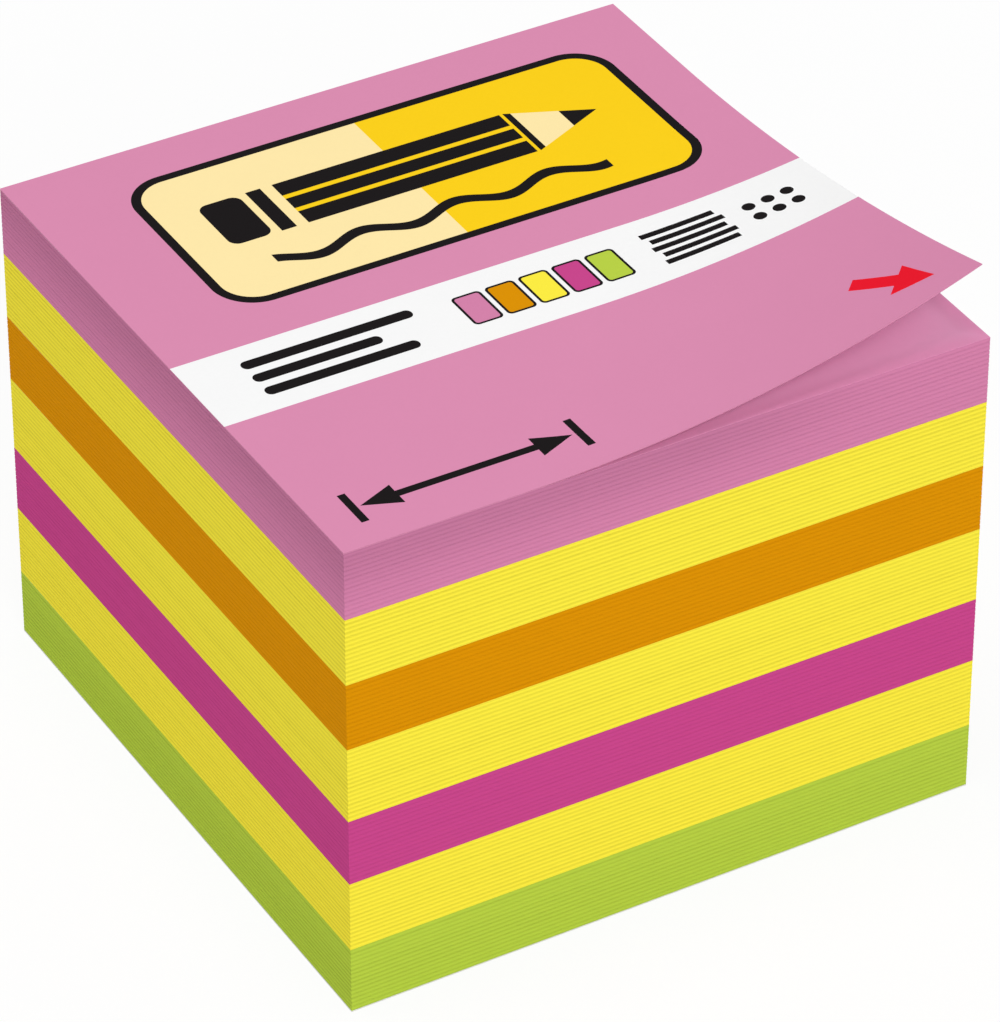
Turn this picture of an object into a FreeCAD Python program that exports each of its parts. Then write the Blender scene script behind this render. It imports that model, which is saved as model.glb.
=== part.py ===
import FreeCAD, Part
import os
import re
from math import pi, radians

import Sketcher

# A pad of sticky notes as a square block, made of seven stacks of coloured notes on a thin backing
# sheet. A low-tack glue strip along the back edge holds each stack to the one below, and the printed
# cover sheet to the top stack. The cover's front right corner has curled up off the pad.
#
# X runs along the notes' free front edge, from left to right, and the glued back edge is at +Y.
# The origin is the middle of the face that the pad stands on. Sizes are in millimetres.

SIZES = {
    # The notes
    "note_width": 76.0,
    "note_length": 76.0,
    "cover_thickness": 0.12,
    "backing_thickness": 0.12,
    # A leaf is the three notes between two of the seams that the cut edges show
    "notes_in_leaf": 3,
    "note_pitch": 0.18,
    "seam_depth": 0.06,
    "seam_height": 0.12,
    # Leaves in each stack, from the pad's bottom to its top
    "green_leaves": 15,
    "lower_yellow_leaves": 16,
    "magenta_leaves": 15,
    "middle_yellow_leaves": 17,
    "orange_leaves": 15,
    "upper_yellow_leaves": 15,
    "pink_leaves": 15,
    # The glue strips
    "glue_thickness": 0.03,
    "glue_width": 14.0,
    "glue_margin": 1.0,
    # The cover's curled corner: how much of the front edge it lifts, how tightly it curls, and how
    # far short of the glue strip its fold meets the right edge
    "front_lift": 56.5,
    "curl_radius": 96.0,
    "glue_clearance": 0.5,
}

STACKS = ["green", "lower_yellow", "magenta", "middle_yellow", "orange", "upper_yellow", "pink"]

# What follows from the sizes. Angles are in degrees. The cover is drawn turned about Z, so that its
# own X, the way out of the pad, is square to the fold, and its own Y, the way aside, is along it.
FORMULAS = {
    "leaf_height": "notes_in_leaf * note_pitch",
    "glue_middle": "note_length / 2 - glue_margin - glue_width / 2",
    "side_lift": "note_length - glue_margin - glue_width - glue_clearance",
    "fold_angle": "atan(front_lift / side_lift) / 1deg",
    "across": "side_lift / hypot(front_lift; side_lift)",
    "along": "front_lift / hypot(front_lift; side_lift)",
    # The curl, from its fold to the corner
    "corner_out": "note_width / 2 * across + note_length / 2 * along",
    "curl_length": "front_lift * across",
    "fold_out": "corner_out - curl_length",
    "curl_angle": "curl_length / curl_radius * 180 / pi",
    # The cover's corners from above, and the middles and ends of its two curled edges
    "front_left_out": "note_length / 2 * along - note_width / 2 * across",
    "front_left_aside": "note_width / -2 * along - note_length / 2 * across",
    "tip_aside": "note_width / 2 * along - note_length / 2 * across",
    "tip_out": "fold_out + curl_radius * sin(curl_angle)",
    "bow_out": "fold_out + curl_radius * sin(curl_angle / 2)",
    "front_fold_aside": "tip_aside - front_lift * along",
    "right_fold_aside": "tip_aside + side_lift * across",
    # The blank that the cover is cut from, and the frame that cuts it
    "blank_reach": "note_width / 2 + note_length / 2",
    "blank_angle": "curl_angle * 1.1",
    "frame_size": "blank_reach * 3",
}

ORIGIN = (-1, 1)
X_AXIS = -1

doc = FreeCAD.newDocument("sticky_note_pad")


def fill_size_sheet():
    """Puts the driving dimensions in cells with their names as aliases, then the formulas."""
    sheet = doc.addObject("Spreadsheet::Sheet", "Sizes")
    cells = {name: str(value) for name, value in SIZES.items()}
    cells.update({name: f"={formula}" for name, formula in FORMULAS.items()})
    base = "backing_thickness"
    for stack in STACKS:
        cells[f"{stack}_height"] = f"={stack}_leaves * leaf_height"
        cells[f"{stack}_base"] = f"={base} + glue_thickness"
        base = f"{stack}_base + {stack}_height"
    cells["cover_base"] = f"={base} + glue_thickness"
    for row, (name, content) in enumerate(cells.items(), start=1):
        sheet.set(f"A{row}", name)
        sheet.set(f"B{row}", content)
        sheet.setAlias(f"B{row}", name)
    doc.recompute()
    return sheet


sizes = fill_size_sheet()


def size_of(expression):
    """The number that an expression of the size sheet gives now."""
    return float(sizes.evalExpression(expression))


def on_sheet(expression):
    """The same expression as an object outside the sheet writes it."""
    return re.sub(r"\b[a-z]\w*\b(?!\()", r"Sizes.\g<0>", expression)


def new_body(label, height="0", middle="0", turn="0"):
    """A body with its origin at (0, middle, height), turned clockwise about Z."""
    body = doc.addObject("PartDesign::Body", label)
    body.Label = label
    place = f"vector(0; {on_sheet(middle)}; {on_sheet(height)})"
    body.setExpression("Placement", f"placement({place}; rotation(vector(0; 0; -1); {on_sheet(turn)}))")
    return body


def new_sketch(body, name, plane):
    sketch = body.newObject("Sketcher::SketchObject", f"{body.Name}_{name}")
    support = next(item for item in body.Origin.OriginFeatures if item.Role == plane)
    sketch.AttachmentSupport = [(support, "")]
    sketch.MapMode = "FlatFace"
    return sketch


def measure(sketch, kind, start, end, expression):
    """Drives the distance between two points of a sketch by an expression of the size sheet."""
    place = sketch.addConstraint(Sketcher.Constraint(kind, *start, *end, size_of(expression)))
    sketch.setExpression(f"Constraints[{place}]", on_sheet(expression))


def put_point(sketch, point, out, aside):
    """Places a sketch point by its two coordinates."""
    measure(sketch, "DistanceX", ORIGIN, point, out)
    measure(sketch, "DistanceY", ORIGIN, point, aside)


def add_loop(sketch, corners):
    """Closed loop of straight lines, joined end to end."""
    points = [FreeCAD.Vector(x, y, 0) for x, y in corners]
    ends = points[1:] + points[:1]
    lines = [sketch.addGeometry(Part.LineSegment(*pair), False) for pair in zip(points, ends)]
    for line, following in zip(lines, lines[1:] + lines[:1]):
        sketch.addConstraint(Sketcher.Constraint("Coincident", line, 2, following, 1))
    return lines


def add_rectangle(sketch, width, length):
    """Rectangle about the sketch's origin."""
    x, y = size_of(width) / 2, size_of(length) / 2
    front, right, back, left = add_loop(sketch, [(-x, -y), (x, -y), (x, y), (-x, y)])
    for line in (front, back):
        sketch.addConstraint(Sketcher.Constraint("Horizontal", line))
    for line in (right, left):
        sketch.addConstraint(Sketcher.Constraint("Vertical", line))
    sketch.addConstraint(Sketcher.Constraint("Symmetric", front, 1, back, 1, *ORIGIN))
    measure(sketch, "DistanceX", (front, 1), (front, 2), width)
    measure(sketch, "DistanceY", (right, 1), (right, 2), length)


def add_seams(sketch, width):
    """Two vees that point inwards from the pad's opposite sides, at the height of the sketch's origin."""
    for side in (1, -1):
        rim, root = side * size_of(width) / 2, side * (size_of(width) / 2 - size_of("seam_depth"))
        half = side * size_of("seam_height") / 2
        base, upper, lower = add_loop(sketch, [(rim, -half), (rim, half), (root, 0)])
        sketch.addConstraint(Sketcher.Constraint("Symmetric", base, 1, base, 2, X_AXIS))
        sketch.addConstraint(Sketcher.Constraint("PointOnObject", upper, 2, X_AXIS))
        rim_ends, root_ends = [ORIGIN, (base, 1)][::side], [(upper, 2), (base, 1)][::side]
        measure(sketch, "DistanceX", *rim_ends, f"{width} / 2")
        measure(sketch, "DistanceX", *root_ends, "seam_depth")
        measure(sketch, "DistanceY", *[(base, 1), (base, 2)][::side], "seam_height")


def extrude(body, kind, sketch, length=None):
    """Pad or pocket from a sketch: as long as the expression says, or both ways through everything."""
    feature = body.newObject(f"PartDesign::{kind}", f"{sketch.Name}_{kind.lower()}")
    feature.Profile = sketch
    if length:
        feature.setExpression("Length", on_sheet(length))
    else:
        feature.Type = "ThroughAll"
        feature.Midplane = True
    body.Tip = feature
    sketch.Visibility = False
    return feature


def make_slab(label, width, length, thickness, **place):
    """Rectangular sheet, strip or stack that stands on its body's origin."""
    body = new_body(label, **place)
    sketch = new_sketch(body, "outline", "XY_Plane")
    add_rectangle(sketch, width, length)
    extrude(body, "Pad", sketch, thickness)
    return body


def make_stack(name):
    """One colour's notes as a solid, with a seam round its cut edges at every leaf."""
    body = make_slab(f"{name}_notes", "note_width", "note_length", f"{name}_height", height=f"{name}_base")
    seams = []
    for plane, width in (("XZ_Plane", "note_width"), ("YZ_Plane", "note_length")):
        sketch = new_sketch(body, f"seams_{plane[:2].lower()}", plane)
        add_seams(sketch, width)
        seams.append(extrude(body, "Pocket", sketch))
    pattern = body.newObject("PartDesign::LinearPattern", f"{body.Name}_leaves")
    pattern.Originals = seams
    pattern.Direction = (next(i for i in body.Origin.OriginFeatures if i.Role == "Z_Axis"), [""])
    body.Tip = pattern
    pattern.setExpression("Length", on_sheet(f"{name}_height"))
    pattern.setExpression("Occurrences", on_sheet(f"{name}_leaves + 1"))
    return body


def add_curl_profile(sketch):
    """The cover's section square to the fold: flat up to it, then curled upwards."""
    back, fold, thick = -size_of("blank_reach"), size_of("fold_out"), size_of("cover_thickness")
    under, upper = size_of("curl_radius") + thick / 2, size_of("curl_radius") - thick / 2
    turn = radians(size_of("blank_angle"))
    centre, normal = FreeCAD.Vector(fold, under, 0), FreeCAD.Vector(0, 0, 1)

    def line(start, end):
        segment = Part.LineSegment(FreeCAD.Vector(*start, 0), FreeCAD.Vector(*end, 0))
        return sketch.addGeometry(segment, False)

    arcs = []
    for radius in (under, upper):
        circle = Part.Circle(centre, normal, radius)
        arcs.append(sketch.addGeometry(Part.ArcOfCircle(circle, -pi / 2, turn - pi / 2), False))
    outer, inner = arcs
    bottom = line((back, 0), (fold, 0))
    top = line((fold, thick), (back, thick))
    end = line((back, thick), (back, 0))
    tips = [sketch.getPoint(arc, 2) for arc in arcs]
    cap = line((tips[0].x, tips[0].y), (tips[1].x, tips[1].y))
    joints = [(cap, 1, outer, 2), (cap, 2, inner, 2), (top, 2, end, 1), (end, 2, bottom, 1)]
    for joint in joints + [(outer, 3, inner, 3)]:
        sketch.addConstraint(Sketcher.Constraint("Coincident", *joint))
    sketch.addConstraint(Sketcher.Constraint("Tangent", bottom, 2, outer, 1))
    sketch.addConstraint(Sketcher.Constraint("Tangent", top, 1, inner, 1))
    sketch.addConstraint(Sketcher.Constraint("PointOnObject", bottom, 1, X_AXIS))
    sketch.addConstraint(Sketcher.Constraint("Horizontal", bottom))
    sketch.addConstraint(Sketcher.Constraint("Horizontal", top))
    sketch.addConstraint(Sketcher.Constraint("Vertical", end))
    sketch.addConstraint(Sketcher.Constraint("PointOnObject", outer, 3, cap))
    measure(sketch, "DistanceX", (bottom, 1), ORIGIN, "blank_reach")
    measure(sketch, "DistanceX", ORIGIN, (bottom, 2), "fold_out")
    measure(sketch, "DistanceY", (end, 2), (end, 1), "cover_thickness")
    measure(sketch, "DistanceY", ORIGIN, (outer, 3), "curl_radius + cover_thickness / 2")
    span = sketch.addConstraint(Sketcher.Constraint("Angle", outer, turn))
    sketch.setExpression(f"Constraints[{span}]", on_sheet("blank_angle") + " * 1deg")


def add_cover_outline(sketch):
    """The cover as seen from above: straight edges where it lies flat, bowed ones where it curls."""
    corners = {
        "back_left": ("-corner_out", "-tip_aside"),
        "front_left": ("front_left_out", "front_left_aside"),
        "front_fold": ("fold_out", "front_fold_aside"),
        "tip": ("tip_out", "tip_aside"),
        "right_fold": ("fold_out", "right_fold_aside"),
        "back_right": ("-front_left_out", "-front_left_aside"),
    }
    bows = {
        ("front_fold", "tip"): ("bow_out", "(front_fold_aside + tip_aside) / 2"),
        ("tip", "right_fold"): ("bow_out", "(right_fold_aside + tip_aside) / 2"),
    }
    spots = {name: FreeCAD.Vector(*map(size_of, spot), 0) for name, spot in corners.items()}
    names = list(corners)
    edges = []
    for start, end in zip(names, names[1:] + names[:1]):
        if (start, end) in bows:
            bow = FreeCAD.Vector(*map(size_of, bows[start, end]), 0)
            curve = Part.Arc(spots[start], bow, spots[end])
        else:
            curve = Part.LineSegment(spots[start], spots[end])
        edge = sketch.addGeometry(curve, False)
        ends = (1, 2) if sketch.getPoint(edge, 1).distanceToPoint(spots[start]) < 1e-6 else (2, 1)
        edges.append((edge, ends, bows.get((start, end))))
    for name, (edge, ends, bow), (before, before_ends, _) in zip(names, edges, edges[-1:] + edges[:-1]):
        sketch.addConstraint(Sketcher.Constraint("Coincident", before, before_ends[1], edge, ends[0]))
        put_point(sketch, (edge, ends[0]), *corners[name])
        if bow:
            spot = sketch.addGeometry(Part.Point(FreeCAD.Vector(*map(size_of, bow), 0)), True)
            put_point(sketch, (spot, 1), *bow)
            sketch.addConstraint(Sketcher.Constraint("PointOnObject", spot, 1, edge))


def make_cover():
    """The printed top sheet: a square of paper with one corner curled up off the pad."""
    body = new_body("cover_sheet", height="cover_base", turn="fold_angle")
    profile = new_sketch(body, "profile", "XZ_Plane")
    add_curl_profile(profile)
    blank = extrude(body, "Pad", profile, "blank_reach * 2")
    blank.Midplane = True
    frame = new_sketch(body, "outline", "XY_Plane")
    add_rectangle(frame, "frame_size", "frame_size")
    add_cover_outline(frame)
    extrude(body, "Pocket", frame)
    return body


def make_glue(name):
    """The glue strip under a stack or the cover, in from the pad's back edge."""
    place = {"height": f"{name}_base - glue_thickness", "middle": "glue_middle"}
    return make_slab(f"glue_under_{name}", "note_width", "glue_width", "glue_thickness", **place)


bodies = [make_slab("backing_sheet", "note_width", "note_length", "backing_thickness")]
bodies += [make_stack(name) for name in STACKS]
bodies += [make_glue(name) for name in STACKS + ["cover"]]
bodies.append(make_cover())
doc.recompute()

for item in doc.Objects:
    if {"Invalid", "Error"} & set(item.State):
        raise RuntimeError(f"{item.Label} did not compute")

os.makedirs("parts", exist_ok=True)
for body in bodies:
    if body.Shape.isNull() or not body.Shape.isValid() or len(body.Shape.Solids) != 1:
        raise RuntimeError(f"{body.Label} is not one sound solid")
    body.Shape.exportStep(f"parts/{body.Label}.step")
    print(f"{body.Label}: {body.Shape.Volume:.2f} mm3")
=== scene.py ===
from math import atan2, cos, hypot, pi, sin

import bpy
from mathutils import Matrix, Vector


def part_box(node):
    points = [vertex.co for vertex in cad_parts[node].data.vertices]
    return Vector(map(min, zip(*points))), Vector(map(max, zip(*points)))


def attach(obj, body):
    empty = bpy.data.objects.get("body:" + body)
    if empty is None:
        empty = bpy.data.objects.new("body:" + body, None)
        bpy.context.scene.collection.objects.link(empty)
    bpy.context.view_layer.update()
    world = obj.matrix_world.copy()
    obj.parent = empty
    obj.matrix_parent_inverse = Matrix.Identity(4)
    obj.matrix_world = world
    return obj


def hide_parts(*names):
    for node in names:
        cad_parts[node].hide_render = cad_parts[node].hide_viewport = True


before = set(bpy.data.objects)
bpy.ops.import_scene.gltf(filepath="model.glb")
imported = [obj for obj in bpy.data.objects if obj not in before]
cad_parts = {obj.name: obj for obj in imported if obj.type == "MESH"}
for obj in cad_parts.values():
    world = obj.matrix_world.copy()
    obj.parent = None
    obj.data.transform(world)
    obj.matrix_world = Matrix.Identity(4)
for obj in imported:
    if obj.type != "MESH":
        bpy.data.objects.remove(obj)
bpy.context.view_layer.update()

MM = 0.001

# Sizes of the pad, in metres

PINK_LOW, PINK_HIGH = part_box("pink_notes")
NOTE_WIDTH = PINK_HIGH.x - PINK_LOW.x
NOTE_LENGTH = PINK_HIGH.y - PINK_LOW.y
PAD_TOP = PINK_HIGH.z
NOTE_PITCH = 0.18 * MM
NOTES_IN_LEAF = 3

# How deep the seams between leaves are, how far a note lies aside and how far its cut edge bows
SEAM_DEPTH = 0.05 * MM
EDGE_WANDER = 0.006 * MM
CUT_BOW = 0.01 * MM

COVER_THICKNESS = 0.12 * MM
CURL_RADIUS = 96 * MM
GLUE_CLEARANCE = 0.5 * MM

# The cover lifts along this much of its front edge, and along its right edge up to the glue. The fold
# lies square to the way out to the corner, which turns from the right towards the front by FOLD_ANGLE
FRONT_LIFT = 56.5 * MM
SIDE_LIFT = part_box("glue_under_cover")[0].y - GLUE_CLEARANCE + NOTE_LENGTH / 2
FOLD_ANGLE = atan2(FRONT_LIFT, SIDE_LIFT)
CURL_LENGTH = FRONT_LIFT * SIDE_LIFT / hypot(FRONT_LIFT, SIDE_LIFT)
FOLD_OUT = (NOTE_WIDTH * cos(FOLD_ANGLE) + NOTE_LENGTH * sin(FOLD_ANGLE)) / 2 - CURL_LENGTH

# Names of the layers that the meshes carry for their materials
SHEET_UV = "sheet"
SEAM_LAYER = "seam"

# Node trees written as expressions

# The Mix node's colours share their names with its numbers, so they go by their places
MIX_FACTOR, MIX_FIRST, MIX_SECOND, MIX_RESULT = 0, 6, 7, 2


class Value:
    """An output socket whose arithmetic adds Math nodes to its tree."""

    def __init__(self, graph, socket):
        self.graph = graph
        self.socket = socket

    def __add__(self, other):
        return self.graph.math("ADD", self, other)

    def __sub__(self, other):
        return self.graph.math("SUBTRACT", self, other)

    def __rsub__(self, other):
        return self.graph.math("SUBTRACT", other, self)

    def __mul__(self, other):
        return self.graph.math("MULTIPLY", self, other)

    def __truediv__(self, other):
        return self.graph.math("DIVIDE", self, other)

    def __mod__(self, other):
        return self.graph.math("FLOORED_MODULO", self, other)

    def __lt__(self, other):
        return self.graph.math("LESS_THAN", self, other)

    def __gt__(self, other):
        return self.graph.math("GREATER_THAN", self, other)

    def __neg__(self):
        return self.graph.math("MULTIPLY", self, -1.0)

    def __abs__(self):
        return self.graph.math("ABSOLUTE", self)

    __radd__ = __add__
    __rmul__ = __mul__


class Graph:
    """The node tree of a material or of geometry, built from expressions."""

    def __init__(self, tree):
        self.tree = tree
        self.tree.nodes.clear()

    def feed(self, socket, value):
        """Links a value to a socket, or sets it there."""
        if isinstance(value, Value):
            self.tree.links.new(value.socket, socket)
        elif socket.type == "RGBA":
            socket.default_value = (*value, 1.0)
        else:
            socket.default_value = value

    def add(self, kind, inputs=None, out=0, **settings):
        """Any node: its settings first, then its sockets' values or links, by name or place.

        It gives one of the node's outputs, or a list of them where out is None or the node has none.
        """
        node = self.tree.nodes.new(kind)
        for name, setting in settings.items():
            setattr(node, name, setting)
        for name, value in (inputs or {}).items():
            self.feed(node.inputs[name], value)
        if out is None or len(node.outputs) == 0:
            return [Value(self, socket) for socket in node.outputs]
        return Value(self, node.outputs[out])

    def math(self, operation, *values):
        return self.add("ShaderNodeMath", dict(enumerate(values)), operation=operation)

    def least(self, *values):
        return self.fold("MINIMUM", values)

    def most(self, *values):
        return self.fold("MAXIMUM", values)

    def fold(self, operation, values):
        result = values[0]
        for value in values[1:]:
            result = self.math(operation, result, value)
        return result

    def rise(self, value, start, end, first=0.0, last=1.0):
        """Goes smoothly from first to last while the value goes from start to end."""
        sockets = {"Value": value, "From Min": start, "From Max": end, "To Min": first, "To Max": last}
        return self.add("ShaderNodeMapRange", sockets, interpolation_type="SMOOTHSTEP")

    def split(self, vector):
        return self.add("ShaderNodeSeparateXYZ", {0: vector}, out=None)

    def vector(self, x=0.0, y=0.0, z=0.0):
        return self.add("ShaderNodeCombineXYZ", {0: x, 1: y, 2: z})

    def blend(self, factor, first, second, **settings):
        """Colour that goes from first to second with the factor."""
        sockets = {MIX_FACTOR: factor, MIX_FIRST: first, MIX_SECOND: second}
        return self.add("ShaderNodeMix", sockets, out=MIX_RESULT, data_type="RGBA", **settings)

    def toned(self, colour, tone):
        """Colour made lighter or darker by a tone about 1."""
        grey = self.add("ShaderNodeCombineColor", {0: tone, 1: tone, 2: tone})
        return self.blend(1.0, colour, grey, blend_type="MULTIPLY")


def srgb(red, green, blue):
    """Linear colour of an 8-bit screen colour."""
    parts = (channel / 255 for channel in (red, green, blue))
    return tuple(p / 12.92 if p <= 0.04045 else ((p + 0.055) / 1.055) ** 2.4 for p in parts)


def shade(colour, factor):
    return tuple(channel * factor for channel in colour)


def new_material(name):
    """A material and the empty graph of its nodes."""
    material = bpy.data.materials.new(name)
    material.use_nodes = True
    return material, Graph(material.node_tree)


# Dyes of the papers and inks of the print

PINK = (0.655, 0.222, 0.40)
# The pink notes' face: paler than their cut edges, and paler still by painted light that lifts the shade
# under the lifted corner
PINK_FACE_WITH_PAINTED_LIGHT = (0.845, 0.415, 0.62)
YELLOW = (0.97, 0.84, 0.055)
ORANGE = (0.71, 0.285, 0.001)
MAGENTA = (0.575, 0.062, 0.262)
GREEN = (0.48, 0.635, 0.062)
COVER_PINK = (0.705, 0.266, 0.44)
# The cover's underside: its pink made paler, a painted light that lifts the shade under the lifted corner
COVER_UNDERSIDE_WITH_PAINTED_LIGHT = (0.90, 0.55, 0.72)
# The cover's cut edge: darker than its face, as cut edges are, and darker still by painted shade that
# evens out the front light
COVER_EDGE_WITH_PAINTED_SHADE = (0.61, 0.23, 0.38)
BACKING_WHITE = (0.78, 0.77, 0.74)
INK_WHITE = (0.94, 0.94, 0.94)
INK_BLACK = srgb(26, 23, 24)
INK_RED = srgb(237, 26, 46)
INK_CREAM = srgb(255, 233, 171)
INK_YELLOW = srgb(252, 209, 27)

# How much painted shade darkens each dye in the seams between leaves, as lines: first on the front and
# back edges, then on the side edges, which are what lies within the margin of the block's width
PINK_SEAM_SHADE = (0.13, 0.14)
YELLOW_SEAM_SHADE = (0.215, 0.265)
ORANGE_SEAM_SHADE = (0.13, 0.115)
MAGENTA_SEAM_SHADE = (0.10, 0.10)
GREEN_SEAM_SHADE = (0.185, 0.265)
SEAM_SHADE_UNEVENNESS = 0.5
SIDE_MARGIN = 0.08 * MM

# The paper's grain: repeats per metre and detail of each noise, and how much each changes the tone
CLOUDING = (160.0, 3.0)
FLOCK = (1900.0, 4.0)
FIBRES = (7000.0, 2.0)
NOTE_GRAIN = (0.03, 0.035, 0.02)
COVER_GRAIN = (0.02, 0.025, 0.015)

# The paper's surface
NOTE_ROUGHNESS = 0.86
COVER_ROUGHNESS = 0.72
ROUGHNESS_SPREAD = 0.08
PAPER_GLOSS = 0.02
FLOCK_RELIEF = 0.7
FIBRE_RELIEF = 0.3
RELIEF_STRENGTH = 0.25
RELIEF_HEIGHT = 0.02 * MM

# Painted shade under the cover darkens the pink notes' edges this far down and this much, and ends
# between two places along X, towards the lifted corner
UNDER_COVER_SHADE_REACH = 8.0 * MM
UNDER_COVER_SHADE_TONE = 0.17
SHADE_FADES_FROM = 2.0 * MM
SHADE_FADES_TO = 32.0 * MM

# Their face is what lies within the margin of the pad's top. Its rim takes the edges' pink this far in
# and this strongly, a painted shade where light reaches in under the lifted corner
FACE_MARGIN = 0.01 * MM
RIM_REACH = 3.0 * MM
RIM_SHADE_BLEND = 0.6


def paper_grain(graph, coordinates):
    """Slow clouding, flock and single fibres, each a noise about 0."""
    noises = []
    for scale, detail in (CLOUDING, FLOCK, FIBRES):
        sockets = {"Vector": coordinates, "Scale": scale, "Detail": detail}
        noises.append(graph.add("ShaderNodeTexNoise", sockets) - 0.5)
    return noises


def grain_tone(grain, strengths):
    """The tone, about 1, that the grain gives the paper."""
    return sum((noise * strength for noise, strength in zip(grain, strengths)), start=1.0)


def seam_shaded_tone(graph, coordinates, grain, lines):
    """The grain's tone on a block of notes, darker by lines of painted shade in the seams between leaves.
    """
    seam = graph.add("ShaderNodeAttribute", out="Fac", attribute_name=SEAM_LAYER)
    front, side = lines
    on_side = abs(graph.split(coordinates)[0]) > NOTE_WIDTH / 2 - SIDE_MARGIN
    strength = front + on_side * (side - front)
    _, flock, _ = grain
    return grain_tone(grain, NOTE_GRAIN) * (1.0 - seam * strength * (1.0 + flock * SEAM_SHADE_UNEVENNESS))


def finish_paper(graph, colour, grain, roughness=NOTE_ROUGHNESS):
    """Matt paper of that colour, with its flock and fibres in relief."""
    _, flock, fibres = grain
    relief = graph.add("ShaderNodeBump", {
        "Height": flock * FLOCK_RELIEF + fibres * FIBRE_RELIEF,
        "Strength": RELIEF_STRENGTH,
        "Distance": RELIEF_HEIGHT,
    })
    surface = graph.add("ShaderNodeBsdfPrincipled", {
        "Base Color": colour,
        "Roughness": roughness + flock * ROUGHNESS_SPREAD,
        "Specular IOR Level": PAPER_GLOSS,
        "Normal": relief,
    })
    graph.add("ShaderNodeOutputMaterial", {"Surface": surface})


def plain_paper(name, dye):
    material, graph = new_material(name)
    grain = paper_grain(graph, graph.add("ShaderNodeTexCoord", out="Object"))
    finish_paper(graph, graph.toned(dye, grain_tone(grain, NOTE_GRAIN)), grain)
    return material


def seam_shaded_paper(name, dye, lines):
    material, graph = new_material(name)
    coordinates = graph.add("ShaderNodeTexCoord", out="Object")
    grain = paper_grain(graph, coordinates)
    finish_paper(graph, graph.toned(dye, seam_shaded_tone(graph, coordinates, grain, lines)), grain)
    return material


def pink_note_paper():
    """The top block's paper. Its face shows under the lifted corner, paler than its cut edges, and paler
    still by painted light that lifts the shade under the corner.

    The face nears the edges' pink at its rim, a painted shade where light reaches in under the corner.
    Painted shade darkens the edges just below the face, less and less towards the lifted corner.
    """
    material, graph = new_material("pink_note_paper")
    coordinates = graph.add("ShaderNodeTexCoord", out="Object")
    grain = paper_grain(graph, coordinates)
    x, y, height = graph.split(coordinates)
    # Painted shade under the cover on the edges, fading out towards the lifted corner
    on_face = height > PAD_TOP - FACE_MARGIN
    below_face = graph.rise(height, PAD_TOP - UNDER_COVER_SHADE_REACH, PAD_TOP, last=UNDER_COVER_SHADE_TONE)
    near_corner = graph.rise(x, SHADE_FADES_FROM, SHADE_FADES_TO)
    painted_shade = below_face * (1.0 - near_corner) * (1.0 - on_face)
    # Painted shade at the face's rim, where light reaches in under the lifted corner
    inwards = graph.least(NOTE_WIDTH / 2 - abs(x), NOTE_LENGTH / 2 - abs(y))
    rim = graph.rise(inwards, 0.0, RIM_REACH, first=RIM_SHADE_BLEND, last=0.0)
    dye = graph.blend(on_face, PINK, graph.blend(rim, PINK_FACE_WITH_PAINTED_LIGHT, PINK))
    tone = seam_shaded_tone(graph, coordinates, grain, PINK_SEAM_SHADE) * (1.0 - painted_shade)
    finish_paper(graph, graph.toned(dye, tone), grain)
    return material


# The cover's print. Its places and sizes are in millimetres, from the middle of the sheet

BAND_MIDDLE = -7.1
BAND_HEIGHT = 11.9

LABEL_MIDDLE = (2.0, 18.2)
LABEL_SIZE = (59.0, 27.0)
LABEL_CORNER = 5.0
LABEL_BORDER = 1.1
LABEL_PARTING = 1.0

PENCIL_LINE = 20.0
PENCIL_WIDTH = 8.4
RUBBER_MIDDLE = -19.2
RUBBER_LENGTH = 5.0
RUBBER_CORNER = 1.2
FERRULE_MIDDLE = -14.9
FERRULE_LENGTH = 1.8
BARREL_MIDDLE = 1.4
BARREL_LENGTH = 28.0
RIDGE_OFFSET = 1.4
RIDGE_WIDTH = 0.7
POINT_END = 25.2
POINT_LENGTH = 9.4
WOOD_START = 16.6
WOOD_END = 21.4

WAVE_LINE = 10.8
WAVE_MIDDLE = 1.0
WAVE_LENGTH = 40.0
WAVE_WIDTH = 1.5
WAVE_SWING = 0.9
WAVE_RADIANS_PER_MM = 0.55

BAR_LENGTHS = (20.0, 15.0, 18.0)
BAR_START = -31.5
BAR_LINE = -4.5
BAR_PITCH = 2.6
BAR_WIDTH = 1.5
BAR_CORNER = 0.7

SWATCH_START = -5.2
SWATCH_PITCH = 4.0
SWATCH_FRAME = (3.5, 5.6)
SWATCH_FRAME_CORNER = 0.6
SWATCH_SIZE = (2.9, 5.0)
SWATCH_CORNER = 0.35

PILE_COUNT = 5
PILE_PLACE = (20.6, -9.9)
PILE_STAGGER = 0.5
PILE_PITCH = 1.4
PILE_SHEET = (9.0, 0.85)

DOT_ROWS = 2
DOT_COLUMNS = 3
DOT_PLACE = (28.6, -5.9)
DOT_PITCH = 2.4
DOT_RADIUS = 0.75

ARROW_TURN = -pi / 4
ARROW_SHAFT_MIDDLE = (29.6, -29.7)
ARROW_SHAFT = (5.4, 2.1)
ARROW_TIP = (34.2, -34.3)
ARROW_HEAD = (4.2, 5.6)

GAUGE_MIDDLE = (-20.5, -31.8)
GAUGE_SHAFT = (19.0, 1.0)
GAUGE_TIP = 12.2
GAUGE_HEAD = (4.2, 3.4)
GAUGE_TICK_PLACE = 13.0
GAUGE_TICK = (0.9, 5.2)


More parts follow.
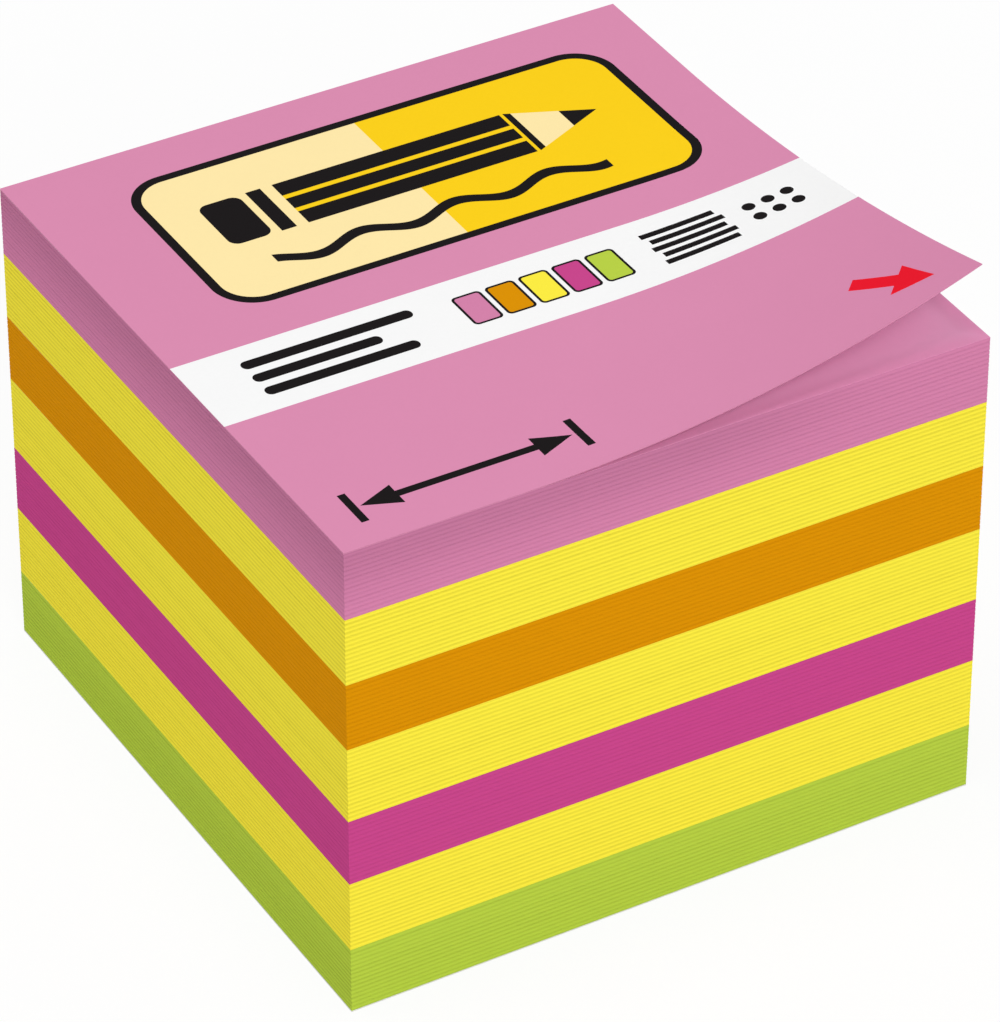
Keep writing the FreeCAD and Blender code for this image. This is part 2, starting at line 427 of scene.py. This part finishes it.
class Print:
    """Flat inks on the cover, laid one on another. An area is below 0 inside its outline."""

    def __init__(self, graph, x, y, ground):
        self.graph, self.x, self.y, self.colour = graph, x, y, ground

    def moved(self, centre, turn=0.0):
        """The pattern's own axes at a place on the sheet, turned anticlockwise."""
        x, y = self.x - centre[0], self.y - centre[1]
        if turn:
            c, s = cos(turn), sin(turn)
            x, y = x * c + y * s, y * c - x * s
        return x, y

    def ink(self, area, colour):
        self.colour = self.graph.blend(area < 0.0, self.colour, colour)

    def shared(self, *areas):
        """What lies inside all of the areas."""
        return self.graph.most(*areas)

    def length(self, x, y):
        return self.graph.math("SQRT", x * x + y * y)

    def box(self, centre, size, turn=0.0, corner=0.0):
        """Rectangle, with its corners rounded to a radius."""
        x, y = self.moved(centre, turn)
        across = abs(x) - (size[0] / 2 - corner)
        up = abs(y) - (size[1] / 2 - corner)
        if not corner:
            return self.shared(across, up)
        return self.length(self.graph.most(across, 0.0), self.graph.most(up, 0.0)) - corner

    def disc(self, centre, radius):
        return self.length(*self.moved(centre)) - radius

    def arrowhead(self, tip, size, turn=0.0):
        """Triangle of a length and width that points along X, turned anticlockwise."""
        length, width = size
        x, y = self.moved(tip, turn)
        return self.shared(abs(y) + x * (width / 2 / length), -x - length)


def print_band(art):
    """White band across the sheet."""
    art.ink(abs(art.y - BAND_MIDDLE) - BAND_HEIGHT / 2, INK_WHITE)


def print_label(art):
    """Rounded label with a black border, cream on the left and yellow on the right."""
    art.ink(art.box(LABEL_MIDDLE, LABEL_SIZE, corner=LABEL_CORNER), INK_BLACK)
    inner_size = [side - 2 * LABEL_BORDER for side in LABEL_SIZE]
    inner = art.box(LABEL_MIDDLE, inner_size, corner=LABEL_CORNER - LABEL_BORDER)
    art.ink(inner, INK_CREAM)
    art.ink(art.shared(inner, LABEL_PARTING - art.x), INK_YELLOW)


def print_pencil(art):
    """Pencil on the label: rubber, ferrule, ridged barrel and sharpened point."""
    for middle, length, corner in (
        (RUBBER_MIDDLE, RUBBER_LENGTH, RUBBER_CORNER),
        (FERRULE_MIDDLE, FERRULE_LENGTH, 0.0),
        (BARREL_MIDDLE, BARREL_LENGTH, 0.0),
    ):
        art.ink(art.box((middle, PENCIL_LINE), (length, PENCIL_WIDTH), corner=corner), INK_BLACK)
    for offset in (RIDGE_OFFSET, -RIDGE_OFFSET):
        ridge = art.box((BARREL_MIDDLE, PENCIL_LINE + offset), (BARREL_LENGTH, RIDGE_WIDTH))
        art.ink(ridge, INK_YELLOW)
    point = art.arrowhead((POINT_END, PENCIL_LINE), (POINT_LENGTH, PENCIL_WIDTH))
    art.ink(point, INK_BLACK)
    art.ink(art.shared(point, art.x - WOOD_END, WOOD_START - art.x), INK_CREAM)


def print_wave(art):
    """The wavy line that the pencil has drawn."""
    wave = art.graph.math("SINE", art.x * WAVE_RADIANS_PER_MM) * WAVE_SWING
    stroke = abs(art.y - WAVE_LINE - wave) - WAVE_WIDTH / 2
    art.ink(art.shared(stroke, abs(art.x - WAVE_MIDDLE) - WAVE_LENGTH / 2), INK_BLACK)


def print_bars(art):
    """Bars on the band, in place of lines of text."""
    for row, length in enumerate(BAR_LENGTHS):
        centre = (BAR_START + length / 2, BAR_LINE - row * BAR_PITCH)
        art.ink(art.box(centre, (length, BAR_WIDTH), corner=BAR_CORNER), INK_BLACK)


def print_swatches(art):
    """A framed swatch on the band for each of the pad's colours."""
    for place, colour in enumerate((PINK, ORANGE, YELLOW, MAGENTA, GREEN)):
        centre = (SWATCH_START + place * SWATCH_PITCH, BAND_MIDDLE)
        art.ink(art.box(centre, SWATCH_FRAME, corner=SWATCH_FRAME_CORNER), INK_BLACK)
        art.ink(art.box(centre, SWATCH_SIZE, corner=SWATCH_CORNER), colour)


def print_pile(art):
    """Edges of a small pile of sheets on the band."""
    for row in range(PILE_COUNT):
        centre = (PILE_PLACE[0] + row % 2 * PILE_STAGGER, PILE_PLACE[1] + row * PILE_PITCH)
        art.ink(art.box(centre, PILE_SHEET), INK_BLACK)


def print_dots(art):
    """Rows of dots at the band's right end."""
    for row in range(DOT_ROWS):
        for column in range(DOT_COLUMNS):
            centre = (DOT_PLACE[0] + column * DOT_PITCH, DOT_PLACE[1] - row * DOT_PITCH)
            art.ink(art.disc(centre, DOT_RADIUS), INK_BLACK)


def print_arrow(art):
    """Red arrow to the corner that lifts."""
    art.ink(art.box(ARROW_SHAFT_MIDDLE, ARROW_SHAFT, ARROW_TURN), INK_RED)
    art.ink(art.arrowhead(ARROW_TIP, ARROW_HEAD, ARROW_TURN), INK_RED)


def print_gauge(art):
    """Dimension line along the front: a shaft with an arrowhead and a tick at each end."""
    x, y = GAUGE_MIDDLE
    art.ink(art.box(GAUGE_MIDDLE, GAUGE_SHAFT), INK_BLACK)
    for side, turn in ((-1, pi), (1, 0.0)):
        art.ink(art.arrowhead((x + side * GAUGE_TIP, y), GAUGE_HEAD, turn), INK_BLACK)
        art.ink(art.box((x + side * GAUGE_TICK_PLACE, y), GAUGE_TICK), INK_BLACK)


PRINTS = (
    print_band, print_label, print_pencil, print_wave, print_bars,
    print_swatches, print_pile, print_dots, print_arrow, print_gauge,
)


def printed_cover_paper():
    """The cover's upper face, with its print on the sheet's own coordinates."""
    material, graph = new_material("printed_cover_paper")
    u, v, _ = graph.split(graph.add("ShaderNodeUVMap", uv_map=SHEET_UV))
    art = Print(graph, (u - 0.5) * (NOTE_WIDTH / MM), (v - 0.5) * (NOTE_LENGTH / MM), COVER_PINK)
    for lay in PRINTS:
        lay(art)
    grain = paper_grain(graph, graph.add("ShaderNodeTexCoord", out="Object"))
    colour = graph.toned(art.colour, grain_tone(grain, COVER_GRAIN))
    finish_paper(graph, colour, grain, roughness=COVER_ROUGHNESS)
    return material


# The glue's film: repeats per metre and detail of its beads, its tone between and on them, its surface
GLUE_BEADS = (2600.0, 2.0)
GLUE_TONES = (0.75, 0.95)
GLUE_ROUGHNESS = 0.25
GLUE_SPREAD = 0.2
GLUE_RELIEF_STRENGTH = 0.3
GLUE_RELIEF_HEIGHT = 0.01 * MM


def glue_film(name, dye):
    """Thin clear glue, uneven where the roller left it, with the dye of its sheet showing through."""
    material, graph = new_material(name)
    scale, detail = GLUE_BEADS
    coordinates = graph.add("ShaderNodeTexCoord", out="Object")
    beads = graph.add("ShaderNodeTexNoise", {"Vector": coordinates, "Scale": scale, "Detail": detail})
    relief = {"Height": beads, "Strength": GLUE_RELIEF_STRENGTH, "Distance": GLUE_RELIEF_HEIGHT}
    surface = graph.add("ShaderNodeBsdfPrincipled", {
        "Base Color": graph.blend(beads, *(shade(dye, tone) for tone in GLUE_TONES)),
        "Roughness": GLUE_ROUGHNESS + beads * GLUE_SPREAD,
        "Normal": graph.add("ShaderNodeBump", relief),
    })
    graph.add("ShaderNodeOutputMaterial", {"Surface": surface})
    return material


# Geometry trees

COVER_ROWS = 96

# Leaves part by this share of the seam's depth or more
LEAST_PARTING = 0.7

# The cover's faces meet at more than this angle in radians along its cut edges, and have a normal with
# more than this share of height everywhere else
SHARP_ANGLE = 0.5
FACE_SLOPE = 0.5


def geometry_tree(name, inputs):
    """An empty geometry tree, its graph, and its inputs as values by name."""
    tree = bpy.data.node_groups.new(name, "GeometryNodeTree")
    tree.interface.new_socket("Geometry", in_out="OUTPUT", socket_type="NodeSocketGeometry")
    for label, kind in inputs.items():
        tree.interface.new_socket(label, in_out="INPUT", socket_type="NodeSocket" + kind)
    graph = Graph(tree)
    return tree, graph, dict(zip(inputs, graph.add("NodeGroupInput", out=None)))


def finish_tree(graph, geometry, *finishes):
    """Ends a geometry tree with real geometry and its materials, each with the faces that it covers."""
    geometry = graph.add("GeometryNodeRealizeInstances", {"Geometry": geometry})
    for material, faces in finishes:
        sockets = {"Geometry": geometry, "Selection": faces, "Material": material}
        geometry = graph.add("GeometryNodeSetMaterial", sockets)
    graph.add("NodeGroupOutput", {0: geometry})


def make_with(tree, name, values):
    """The plain mesh object that a geometry tree makes from these inputs."""
    holder = bpy.data.objects.new(name + "_maker", bpy.data.meshes.new(name + "_seed"))
    bpy.context.scene.collection.objects.link(holder)
    modifier = holder.modifiers.new("maker", "NODES")
    modifier.node_group = tree
    for item in tree.interface.items_tree:
        if item.in_out == "INPUT":
            modifier[item.identifier] = values[item.name]
    holder.update_tag()
    bpy.context.view_layer.update()
    evaluated = holder.evaluated_get(bpy.context.evaluated_depsgraph_get())
    mesh = bpy.data.meshes.new_from_object(evaluated)
    mesh.name = name
    bpy.data.objects.remove(holder)
    piece = bpy.data.objects.new(name, mesh)
    bpy.context.scene.collection.objects.link(piece)
    return piece


def note_stack_tree():
    """A closed block of sheets whose edges bow, wander and part in a groove between leaves."""
    tree, graph, given = geometry_tree("note_stack", {
        "Note Width": "Float", "Note Length": "Float", "Note Pitch": "Float", "Note Count": "Int",
        "Base Height": "Float", "Notes In Leaf": "Int", "Seam Depth": "Float", "Edge Wander": "Float",
        "Cut Bow": "Float", "Seed": "Int", "Paper": "Material",
    })
    pitch, count, seed = given["Note Pitch"], given["Note Count"], given["Seed"]
    wander, bow = given["Edge Wander"], given["Cut Bow"]
    height = pitch * count
    block = graph.add("GeometryNodeMeshCube", {
        "Size": graph.vector(given["Note Width"], given["Note Length"], height),
        "Vertices X": 2,
        "Vertices Y": 2,
        "Vertices Z": count * 2.0 + 1.0,
    })

    # Odd rows are the middles of the sheets, even rows lie between them
    x, y, z = graph.split(graph.add("GeometryNodeInputPosition"))
    row = graph.math("ROUND", (z + height * 0.5) / (pitch * 0.5))
    between = 1.0 - row % 2.0
    inner = (row > 0.5) * (row < count * 2.0 - 0.5)
    rows_in_leaf = given["Notes In Leaf"] * 2.0
    leaf = row / rows_in_leaf

    # Each leaf has parted from the next by its own share of the seam's depth
    chance = {2: LEAST_PARTING, 3: 1.0, "ID": graph.math("ROUND", leaf), "Seed": seed}
    parting = inner * graph.add("FunctionNodeRandomValue", chance, out=1, data_type="FLOAT")
    groove = parting * (row % rows_in_leaf < 0.5)
    # The seam layer tells the paper where to paint shade in the seams between leaves
    seam = parting * (graph.math("COSINE", leaf * (2.0 * pi)) * 0.5 + 0.5)
    depth = wander + between * bow + groove * (given["Seam Depth"] - bow - wander)

    # Each row lies a little to one side, apart from the block's top and bottom faces
    sway = wander * inner
    reach = {0: graph.vector(-sway, -sway), 1: graph.vector(sway, sway), "ID": row, "Seed": seed}
    drift = graph.add("FunctionNodeRandomValue", reach, data_type="FLOAT_VECTOR")
    pull = graph.vector(
        -graph.math("SIGN", x) * depth, -graph.math("SIGN", y) * depth, given["Base Height"] + height * 0.5
    )
    shift = graph.add("ShaderNodeVectorMath", {0: pull, 1: drift}, operation="ADD")
    layer = {"Geometry": block, "Name": SEAM_LAYER, "Value": seam}
    block = graph.add("GeometryNodeStoreNamedAttribute", layer, data_type="FLOAT", domain="POINT")
    block = graph.add("GeometryNodeSetPosition", {"Geometry": block, "Offset": shift})
    finish_tree(graph, block, (given["Paper"], True))
    return tree


def curled_sheet_tree():
    """A flat sheet whose front right corner is bent up round a cylinder, without stretching."""
    tree, graph, given = geometry_tree("curled_sheet", {
        "Sheet Width": "Float", "Sheet Length": "Float", "Thickness": "Float", "Base Height": "Float",
        "Fold Angle": "Float", "Fold Out": "Float", "Curl Radius": "Float", "Rows": "Int",
        "Upper Face": "Material", "Under Face": "Material", "Cut Edge": "Material",
    })
    width, length, thickness = given["Sheet Width"], given["Sheet Length"], given["Thickness"]
    rows, radius = given["Rows"], given["Curl Radius"]
    size = graph.vector(width, length, thickness)
    sockets = {"Size": size, "Vertices X": rows, "Vertices Y": rows, "Vertices Z": 2}
    sheet = graph.add("GeometryNodeMeshCube", sockets)

    # The flat sheet's own coordinates, for the print
    x, y, z = graph.split(graph.add("GeometryNodeInputPosition"))
    across = graph.vector(x / width + 0.5, y / length + 0.5)
    layer = {"Geometry": sheet, "Name": SHEET_UV, "Value": across}
    sheet = graph.add("GeometryNodeStoreNamedAttribute", layer, data_type="FLOAT2", domain="CORNER")

    # Smooth faces that stay sharp along the cut edges
    sheet = graph.add("GeometryNodeSetShadeSmooth", {"Geometry": sheet, "Shade Smooth": True})
    sharp = graph.add("GeometryNodeInputMeshEdgeAngle") > SHARP_ANGLE
    sockets = {"Geometry": sheet, "Selection": sharp, "Shade Smooth": False}
    sheet = graph.add("GeometryNodeSetShadeSmooth", sockets, domain="EDGE")

    # Beyond the fold the way out of the pad goes round the cylinder
    along, square = graph.math("SINE", given["Fold Angle"]), graph.math("COSINE", given["Fold Angle"])
    out, aside = x * square - y * along, x * along + y * square
    turn = graph.most(out - given["Fold Out"], 0.0) / radius
    reach = radius - z
    out = graph.least(out, given["Fold Out"]) + reach * graph.math("SINE", turn)
    height = given["Base Height"] + thickness * 0.5 + radius - reach * graph.math("COSINE", turn)
    place = graph.vector(out * square + aside * along, aside * square - out * along, height)
    sheet = graph.add("GeometryNodeSetPosition", {"Geometry": sheet, "Position": place})
    slope = graph.split(graph.add("GeometryNodeInputNormal"))[2]
    finish_tree(
        graph, sheet, (given["Under Face"], True), (given["Cut Edge"], slope > -FACE_SLOPE),
        (given["Upper Face"], slope > FACE_SLOPE),
    )
    return tree


# The pad

PAPERS = {
    "pink": pink_note_paper(),
    "yellow": seam_shaded_paper("yellow_note_paper", YELLOW, YELLOW_SEAM_SHADE),
    "orange": seam_shaded_paper("orange_note_paper", ORANGE, ORANGE_SEAM_SHADE),
    "magenta": seam_shaded_paper("magenta_note_paper", MAGENTA, MAGENTA_SEAM_SHADE),
    "green": seam_shaded_paper("green_note_paper", GREEN, GREEN_SEAM_SHADE),
}

STACKS = {
    "green_notes": "green",
    "lower_yellow_notes": "yellow",
    "magenta_notes": "magenta",
    "middle_yellow_notes": "yellow",
    "orange_notes": "orange",
    "upper_yellow_notes": "yellow",
    "pink_notes": "pink",
}

GLUE_LIES_ON = {
    "glue_under_cover": PINK_FACE_WITH_PAINTED_LIGHT,
    "glue_under_pink": YELLOW,
    "glue_under_upper_yellow": ORANGE,
    "glue_under_orange": YELLOW,
    "glue_under_middle_yellow": MAGENTA,
    "glue_under_magenta": YELLOW,
    "glue_under_lower_yellow": GREEN,
    "glue_under_green": BACKING_WHITE,
}


def add_stack(tree, node, dye, seed):
    """The notes of one band, in the place of their CAD node."""
    low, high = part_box(node)
    stack = make_with(tree, "sheets_of_" + node, {
        "Note Width": NOTE_WIDTH, "Note Length": NOTE_LENGTH, "Note Pitch": NOTE_PITCH,
        "Note Count": round((high.z - low.z) / NOTE_PITCH), "Base Height": low.z,
        "Notes In Leaf": NOTES_IN_LEAF, "Seam Depth": SEAM_DEPTH, "Edge Wander": EDGE_WANDER,
        "Cut Bow": CUT_BOW, "Seed": seed, "Paper": PAPERS[dye],
    })
    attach(stack, "root")
    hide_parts(node)


def add_cover():
    """The cover sheet, printed on its upper face, with its front right corner lifted."""
    low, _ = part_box("cover_sheet")
    cover = make_with(curled_sheet_tree(), "printed_cover", {
        "Sheet Width": NOTE_WIDTH, "Sheet Length": NOTE_LENGTH, "Thickness": COVER_THICKNESS,
        "Base Height": low.z, "Fold Angle": FOLD_ANGLE, "Fold Out": FOLD_OUT, "Curl Radius": CURL_RADIUS,
        "Rows": COVER_ROWS, "Upper Face": printed_cover_paper(),
        "Under Face": plain_paper("bare_cover_paper", COVER_UNDERSIDE_WITH_PAINTED_LIGHT),
        "Cut Edge": plain_paper("cut_cover_paper", COVER_EDGE_WITH_PAINTED_SHADE),
    })
    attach(cover, "root")
    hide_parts("cover_sheet")


def dress(node, material):
    """Gives a CAD node that stays in view its material."""
    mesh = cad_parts[node].data
    mesh.materials.clear()
    mesh.materials.append(material)


stack_tree = note_stack_tree()
for seed, (node, dye) in enumerate(STACKS.items(), start=1):
    add_stack(stack_tree, node, dye, seed)
add_cover()
for node, dye in GLUE_LIES_ON.items():
    dress(node, glue_film("clear_" + node, dye))
dress("backing_sheet", plain_paper("backing_paper", BACKING_WHITE))


# Floor, light and camera. Places are in metres, powers in watts and the lens in millimetres

FLOOR_REACH = 3.0
FLOOR_DROP = 0.02 * MM
FLOOR_COLOUR = (0.93, 0.93, 0.93)
FLOOR_ROUGHNESS = 0.9
FLOOR_GLOSS = 0.1
FLOOR_WHITENESS = 0.9
WHITE = (1.0, 1.0, 1.0)
AMBIENT = 0.42
LAMP_AIM = (0.0, 0.0, 0.03)
OVERHEAD_PLACE, OVERHEAD_SIZE, OVERHEAD_POWER = (-0.24, 0.0, 2.37), 1.2, 19.2
FRONT_PLACE, FRONT_SIZE, FRONT_POWER = (-0.56, -1.8, 1.43), 1.0, 24.0
CAMERA_PLACE = (-0.274633, -0.479718, 0.424782)
CAMERA_AIM = (0.000531, -0.001862, 0.027509)
CAMERA_LENS = 222.79
CAMERA_SENSOR = 36.0
NEAREST_SEEN = 0.01


def seen_directly(graph):
    """1 for what the camera, a reflection or glass shows, 0 for light that bounces."""
    rays = ("Is Camera Ray", "Is Glossy Ray", "Is Transmission Ray")
    return graph.most(*(graph.add("ShaderNodeLightPath", out=ray) for ray in rays))


def white_floor():
    """Matt white that shows nearly as white as the background and keeps a faint shadow."""
    material, graph = new_material("white_floor")
    matt = {"Base Color": FLOOR_COLOUR, "Roughness": FLOOR_ROUGHNESS, "Specular IOR Level": FLOOR_GLOSS}
    surface = graph.add("ShaderNodeBsdfPrincipled", matt)
    glow = graph.add("ShaderNodeEmission", {"Color": WHITE, "Strength": 1.0})
    white = seen_directly(graph) * FLOOR_WHITENESS
    mixed = graph.add("ShaderNodeMixShader", {0: white, 1: surface, 2: glow})
    graph.add("ShaderNodeOutputMaterial", {"Surface": mixed})
    return material


def add_floor():
    mesh = bpy.data.meshes.new("floor")
    corners = [(x * FLOOR_REACH, y * FLOOR_REACH, 0) for x, y in ((-1, -1), (1, -1), (1, 1), (-1, 1))]
    mesh.from_pydata(corners, [], [(0, 1, 2, 3)])
    mesh.materials.append(white_floor())
    floor = bpy.data.objects.new("floor", mesh)
    bpy.context.scene.collection.objects.link(floor)
    floor.location.z = -FLOOR_DROP


def aimed(thing, place, target):
    """Puts a lamp or camera in the scene at a place, turned towards the target."""
    thing.location = place
    thing.rotation_euler = (Vector(target) - Vector(place)).to_track_quat("-Z", "Y").to_euler()
    bpy.context.scene.collection.objects.link(thing)


def add_softbox(name, place, size, power):
    lamp = bpy.data.lights.new(name, "AREA")
    lamp.shape = "SQUARE"
    lamp.size = size
    lamp.energy = power
    aimed(bpy.data.objects.new(name, lamp), place, LAMP_AIM)


def set_world():
    """White to the camera and to reflections, a plain soft level to everything else."""
    world = bpy.data.worlds.new("studio")
    bpy.context.scene.world = world
    world.use_nodes = True
    graph = Graph(world.node_tree)
    strength = AMBIENT + seen_directly(graph) * (1.0 - AMBIENT)
    back = graph.add("ShaderNodeBackground", {"Color": WHITE, "Strength": strength})
    graph.add("ShaderNodeOutputWorld", {"Surface": back})


def add_camera():
    lens = bpy.data.cameras.new("camera")
    lens.sensor_width = CAMERA_SENSOR
    lens.lens = CAMERA_LENS
    lens.clip_start = NEAREST_SEEN
    camera = bpy.data.objects.new("camera", lens)
    aimed(camera, CAMERA_PLACE, CAMERA_AIM)
    bpy.context.scene.camera = camera


add_floor()
set_world()
add_softbox("overhead_softbox", OVERHEAD_PLACE, OVERHEAD_SIZE, OVERHEAD_POWER)
add_softbox("front_softbox", FRONT_PLACE, FRONT_SIZE, FRONT_POWER)
add_camera()
bpy.context.scene.view_settings.view_transform = "Standard"
